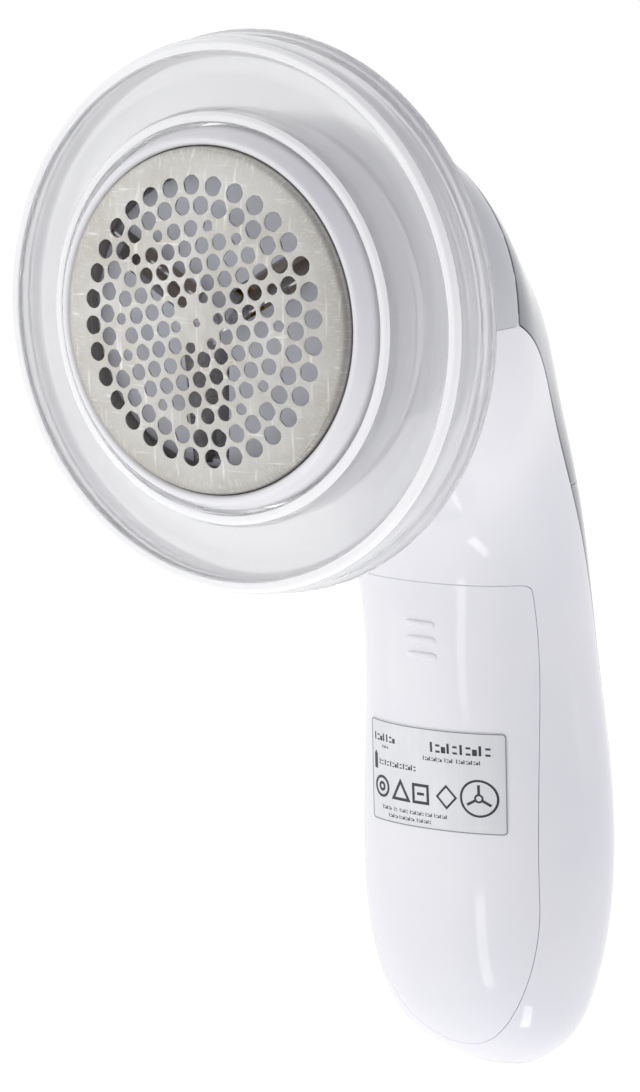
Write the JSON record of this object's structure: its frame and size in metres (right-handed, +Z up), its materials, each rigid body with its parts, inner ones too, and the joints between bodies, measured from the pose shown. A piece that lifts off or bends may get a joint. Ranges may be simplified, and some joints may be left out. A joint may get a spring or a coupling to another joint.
{
  "type": "fabric shaver",
  "caption": "Battery fabric shaver: round domed perforated foil in a clear guard ring on a curved white handle, with a grey lint bin, battery cover and slide switch at the back.",
  "frame": {"origin": "under the middle of the object at its lowest point, as it is held upright with the head above", "axes": "+X to the object's right as its foil is faced, +Y to the back along the head axis (the foil faces -Y), +Z up along the handle"},
  "size_m": [0.0816, 0.0902, 0.1633],
  "materials": {
    "white_gloss": "gloss white moulded ABS",
    "clear_guard": "clear moulded polycarbonate, polished",
    "foil_steel": "satin stainless sheet, lightly scuffed",
    "smoke_grey": "gloss smoke grey moulded plastic",
    "inner_white": "plain moulded inner plastic",
    "carrier_grey": "light grey moulded plastic",
    "impeller_grey": "grey moulded plastic",
    "blade_steel": "ground steel",
    "hub_brass": "turned brass",
    "motor_can": "drawn plated steel",
    "magnet": "sintered ferrite",
    "lamination": "stacked steel laminations",
    "copper": "enamelled copper",
    "black_plastic": "black moulded plastic",
    "screw_steel": "nickel plated steel",
    "contact_metal": "nickel plated spring steel",
    "label_film": "silver printed film",
    "cell_jacket": "printed jacket on a steel can",
    "switch_white": "gloss white moulded plastic",
    "wire_red": "red insulation",
    "wire_black": "black insulation"
  },
  "bodies": {
    "body": {"chamber_base": "white_gloss", "lint_duct": "inner_white", "motor_can": "motor_can", "front_bush": "hub_brass", "motor_magnets": "magnet", "motor_end_cap": "black_plastic", "motor_brushes": "copper", "motor_terminals": "hub_brass", "motor_bracket": "inner_white", "motor_screws": "screw_steel", "head_cover": "white_gloss", "body_shell": "white_gloss", "bin_deck": "inner_white", "rear_cover": "smoke_grey", "casing_screws": "screw_steel", "battery_tray": "inner_white", "battery_left": "cell_jacket", "battery_right": "cell_jacket", "battery_springs": "contact_metal", "battery_contacts": "contact_metal", "switch_body": "black_plastic", "wire_red": "wire_red", "wire_black": "wire_black"},
    "rotor": {"motor_shaft": "blade_steel", "drive_hub": "hub_brass", "impeller": "impeller_grey", "blade_carrier": "carrier_grey", "blades": "blade_steel", "armature_core": "lamination", "armature_windings": "copper", "commutator": "copper"},
    "foil_unit": {"foil": "foil_steel", "foil_ring": "white_gloss"},
    "guard_unit": {"guard": "clear_guard"},
    "bin_unit": {"lint_bin": "smoke_grey"},
    "cover_unit": {"battery_cover": "white_gloss", "rating_label": "label_film"},
    "switch_unit": {"switch_button": "switch_white"}
  },
  "joints": [
    {"name": "rotor_spin", "type": "hinge", "parent": "body", "child": "rotor", "pos_m": [0, -0.04509, 0.1225], "axis": [0, 1, 0], "continuous": true},
    {"name": "foil_pull", "type": "slide", "parent": "body", "child": "foil_unit", "axis": [0, -1, 0], "range_m": [0, 0.03]},
    {"name": "guard_pull", "type": "slide", "parent": "foil_unit", "child": "guard_unit", "axis": [0, -1, 0], "range_m": [0, 0.02]},
    {"name": "bin_pull", "type": "slide", "parent": "body", "child": "bin_unit", "axis": [0, 1, 0], "range_m": [0, 0.03]},
    {"name": "cover_tilt", "type": "hinge", "parent": "body", "child": "cover_unit", "pos_m": [0, 0.02311, 0.0048], "axis": [1, 0, 0], "range_deg": [0, 40]},
    {"name": "switch_slide", "type": "slide", "parent": "body", "child": "switch_unit", "axis": [0, 0, 1], "range_m": [0, 0.005]}
  ]
}
